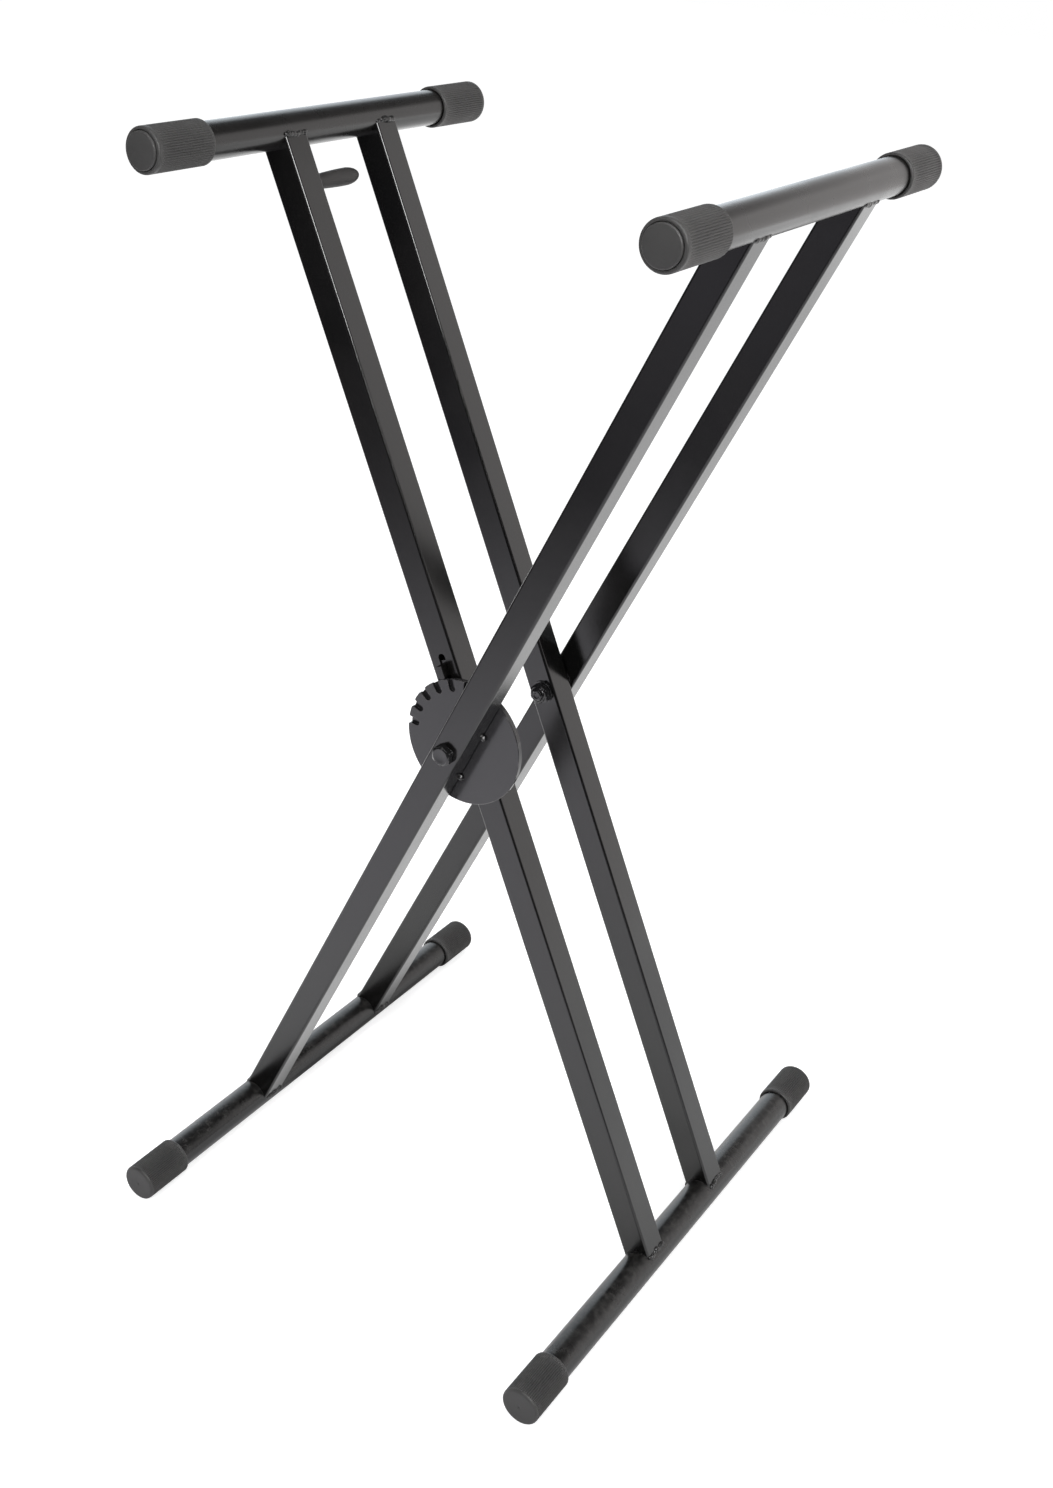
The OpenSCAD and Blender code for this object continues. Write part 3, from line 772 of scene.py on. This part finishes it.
def make_tubes():
    """Hollow drawn tubes, finer than the CAD ones so that long reflections run smoothly along them."""
    steps = 128
    bore = TUBE_R - TUBE_WALL
    for frame_name, lean in FRAMES.items():
        for (which, length, up), paint in zip(TUBES, (TUBE_PAINT, FOOT_PAINT)):
            half = length / 2 - CAP_END
            rows = [(TUBE_R, -half), (TUBE_R, half), (bore, half), (bore, -half)]
            tube = turned(rows, steps, lean @ facing(0, up * HALF_LEN), loop=True)
            tube.materials.append(paint)
            piece(f"{frame_name}_{which}_drawn_tube", tube, frame_name + "_frame", "frame_paint",
                  f"{frame_name}_{which}_tube")


def make_spring():
    """The coil round the pull rod, which rides on the latch."""
    inset = SPRING_WIRE / 2 + 0.0001
    steps_round = 32
    steps = steps_round * SPRING_TURNS
    points = []
    for k in range(steps + 1):
        angle = 2 * math.pi * SPRING_TURNS * k / steps
        x = SPRING_R * math.cos(angle)
        y = INNER_LEGS_Y[0] + SPRING_R * math.sin(angle)
        z = SPRING_LOW + inset + (SPRING_LEN - 2 * inset) * k / steps
        points.append(INNER @ Vector((x, y, z)))
    line = bpy.data.meshes.new("coil_line")
    line.from_pydata(points, [(k, k + 1) for k in range(steps)], [])
    coil = grow("coil_spring", line, BEAD_TREE, Radius=SPRING_WIRE / 2, Ripple=0.0, Wander=0.0,
                Taper=0.001, Material=BARE_STEEL)
    spring = piece("coil_spring", coil, "latch", "bare_steel", "return_spring")
    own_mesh(spring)


make_caps()
make_beads()
make_tacks()
make_bolts()
make_grip()
make_tubes()
make_spring()


# Finishes of the CAD nodes that stay


def dress(material, slot, *names):
    """Gives CAD nodes their material."""
    for name in names:
        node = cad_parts[name]
        node.data.materials.clear()
        node.data.materials.append(material)


dress(FRAME_PAINT, "frame_paint", "outer_leg_front", "outer_leg_rear", "inner_leg_front", "inner_leg_rear",
      "locking_dog")
dress(DISC_PAINT, "frame_paint", "height_disc", "guide_disc")
dress(DARK_PLATING, "dark_hardware", "nut_washers", "spacer_washers")
dress(BARE_STEEL, "bare_steel", "pivot_sleeves", "pull_rod", "dog_pin")
dress(NYLON, "nylon", "rod_guides")


# Floor, backdrop and studio light

# How bright the white paper behind and under the stand looks in its reflections
PAPER_LIGHT = 1.5
WHITE = (1, 1, 1, 1)


def stage_sheet(name, corners, material):
    """A flat studio surface, which isn't part of the stand."""
    mesh = bpy.data.meshes.new(name)
    mesh.from_pydata(corners, [], [(0, 1, 2, 3)])
    mesh.materials.append(material)
    sheet = bpy.data.objects.new(name, mesh)
    bpy.context.scene.collection.objects.link(sheet)
    return sheet


def stage_material(name):
    """An empty material, with its Wires, the shaded point and its X, Y and Z."""
    material = bpy.data.materials.new(name)
    material.use_nodes = True
    material.node_tree.nodes.clear()
    w = Wires(material.node_tree)
    point = w.point()
    return material, w, point, w.split(point)


def floor_paper(w, point, y):
    """How much white paper lies on the floor: it ends softly in front of the stand."""
    reach = w.vector("LENGTH", point).outputs["Value"]
    near = w.ramp(reach, low=0.8, high=2.0, out_low=0.95, out_high=0.05)
    return w.math("MAXIMUM", near, w.ramp(y, low=-0.7, high=0.3))


def floor_strip(w, x, y):
    """A dim strip of the room's floor, which runs forward and to the left from the end of the paper."""
    slope = 0.376
    start = -0.184
    aside = w.math("ABSOLUTE", w.minus(x, w.plus(w.times(y, slope), start)))
    strip = w.ramp(aside, low=0.9, high=0.3, out_low=0.0, out_high=0.6)
    return w.times(strip, w.ramp(y, low=-1.7, high=-3.6, out_low=0.3, out_high=1.0))


def floor_shade(w, x, y, ray_length):
    """How much light is left close to what stands on the floor, with less of it by the left foot."""
    reach = 0.12
    depth = 0.58
    close = w.math("EXPONENT", w.times(ray_length, -1 / reach))
    left_foot = w.times(w.ramp(x, low=-0.170, high=-0.180), w.ramp(y, low=-0.09, high=-0.02))
    return w.math("SUBTRACT", 1.0, w.times(close, w.plus(depth, w.times(left_foot, 0.5))), clamp=True)


def studio_floor():
    """A floor that looks white to the camera and keeps the stand's shadow, and in front ends in the dark."""
    material, w, point, split = stage_material("studio_floor")
    x = split["X"]
    y = split["Y"]
    rays = w("ShaderNodeLightPath").outputs
    mirrored = rays["Is Glossy Ray"]
    paper = floor_paper(w, point, y)
    shade = floor_shade(w, x, y, rays["Ray Length"])

    # In reflections the paper glows, and more so on the right, at the rear on the left and far behind
    right = w.ramp(x, low=0.1, high=1.6, out_low=1.0, out_high=1.25)
    far = w.times(w.ramp(x, low=-0.1, high=-0.7), w.ramp(y, low=0.6, high=1.0))
    far = w.math("MAXIMUM", far, w.ramp(y, low=1.8, high=2.3))
    level = w.times(paper, PAPER_LIGHT * 0.45, right)
    level = w.times(level, w.plus(1.0, far))
    level = w.plus(w.times(level, shade), floor_strip(w, x, y))

    # To the camera it is a pale sheet, lifted to white where no shadow falls
    dark = w.times(mirrored, w.minus(1.0, w.times(paper, shade)))
    tone = w.times(0.75, w.minus(1.0, dark))
    colour = w("ShaderNodeCombineColor", Red=tone, Green=tone, Blue=tone).outputs[0]
    sheet = w("ShaderNodeBsdfDiffuse", Color=colour).outputs[0]
    seen = w.math("MAXIMUM", rays["Is Camera Ray"], rays["Is Transmission Ray"])
    glow = w.plus(w.times(seen, 0.68), w.times(mirrored, level))
    front = w.ramp(y, low=0.0, high=-0.6)
    tint = w.mix(w.times(mirrored, front), WHITE, (1.0, 0.96, 1.08, 1))
    lift = w("ShaderNodeEmission", Color=tint, Strength=glow).outputs[0]
    both = w("ShaderNodeAddShader", i0=sheet, i1=lift).outputs[0]
    w("ShaderNodeOutputMaterial", Surface=both)
    half = 12
    corners = [(-half, -half, 0), (half, -half, 0), (half, half, 0), (-half, half, 0)]
    stage_sheet("studio_floor", corners, material)


def studio_backdrop():
    """The upright paper behind the stand, seen only in reflections.

    Its top edge is soft, and higher towards both sides.
    """
    material, w, _, split = stage_material("studio_backdrop")
    x = split["X"]
    left = w.ramp(x, low=-0.9, high=-1.6)
    right = w.times(w.ramp(x, low=1.1, high=1.9), 0.35)
    height = w.minus(split["Z"], w.plus(left, right))
    level = w.ramp(height, low=1.85, high=2.50, out_low=PAPER_LIGHT * 0.95, out_high=0.14)
    level = w.times(level, w.ramp(x, low=-0.5, high=-1.1, out_low=1.0, out_high=1.35))
    level = w.times(level, w.ramp(x, low=0.8, high=1.6, out_low=1.0, out_high=0.92))
    tint = w.mix(w.ramp(x, low=-1.2, high=0.1), (0.93, 1.0, 1.06, 1), (1.035, 1.0, 0.99, 1))
    glow = w("ShaderNodeEmission", Color=tint, Strength=level).outputs[0]
    w("ShaderNodeOutputMaterial", Surface=glow)
    half = 7
    y = 2.7
    top = 5
    corners = [(-half, y, 0), (half, y, 0), (half, y, top), (-half, y, top)]
    sheet = stage_sheet("studio_backdrop", corners, material)
    sheet.visible_camera = False
    sheet.visible_diffuse = False
    sheet.visible_transmission = False
    sheet.visible_shadow = False


def studio_sky():
    """White to the camera. Reflections see a dim room, with a band of light low down at the rear."""
    world = bpy.data.worlds.new("studio_sky")
    world.use_nodes = True
    world.node_tree.nodes.clear()
    w = Wires(world.node_tree)
    rays = w("ShaderNodeLightPath").outputs
    way = w.split(w("ShaderNodeTexCoord").outputs["Generated"])
    low_down = w.ramp(way["Z"], low=0.35, high=0.6, out_low=1.1, out_high=0.08)
    room = w.times(low_down, w.ramp(way["Y"], low=-0.1, high=0.3, out_low=0.04, out_high=1.0))
    soft = w.ramp(way["Y"], low=-0.6, high=0.6, out_low=0.25, out_high=0.7)
    unseen = w.blend(rays["Is Glossy Ray"], soft, room)
    seen = w.math("MAXIMUM", rays["Is Camera Ray"], rays["Is Transmission Ray"])
    level = w.blend(seen, unseen, 1.0)
    sky = w("ShaderNodeBackground", Color=WHITE, Strength=level).outputs[0]
    w("ShaderNodeOutputWorld", Surface=sky)
    bpy.context.scene.world = world


def softbox(name, where, target, size, power, colour=(1, 1, 1), diffuse=True, glossy=True):
    """An area lamp that faces its target, unseen by the camera.

    Without diffuse it shows only in reflections, and without glossy it shows in none.
    """
    data = bpy.data.lights.new(name, "AREA")
    data.shape = "RECTANGLE"
    data.size, data.size_y = size
    data.energy = power
    data.color = colour
    lamp = bpy.data.objects.new(name, data)
    lamp.location = where
    lamp.rotation_euler = (Vector(target) - Vector(where)).to_track_quat("-Z", "Y").to_euler()
    lamp.visible_camera = False
    lamp.visible_diffuse = diffuse
    lamp.visible_glossy = glossy
    bpy.context.scene.collection.objects.link(lamp)


# Lamps light the stand from above, from the right and from the front. The front has one box for plain
# light and one, larger and dimmer, for its sheen
FRONT = {"where": (-0.1, -2.6, 1.9), "target": (0, 0, 0.7)}

studio_floor()
studio_backdrop()
studio_sky()
softbox("overhead_box", where=(0.3, -0.5, 2.6), target=(0, 0, 0.5), size=(0.9, 0.9), power=12)
softbox("right_box", where=(1.8, -0.7, 2.1), target=(0, 0, 0.6), size=(0.9, 0.9), power=22, glossy=False)
softbox("glint_box", where=(1.6, -0.8, 2.0), target=(0, 0, 0.6), size=(0.8, 0.8), power=52, diffuse=False)
softbox("front_box", **FRONT, size=(1.2, 1.2), power=52, colour=(0.97, 0.98, 1.0), glossy=False)
softbox("front_sheen", **FRONT, size=(2.4, 1.2), power=11, diffuse=False)

bpy.context.scene.view_settings.view_transform = "Standard"
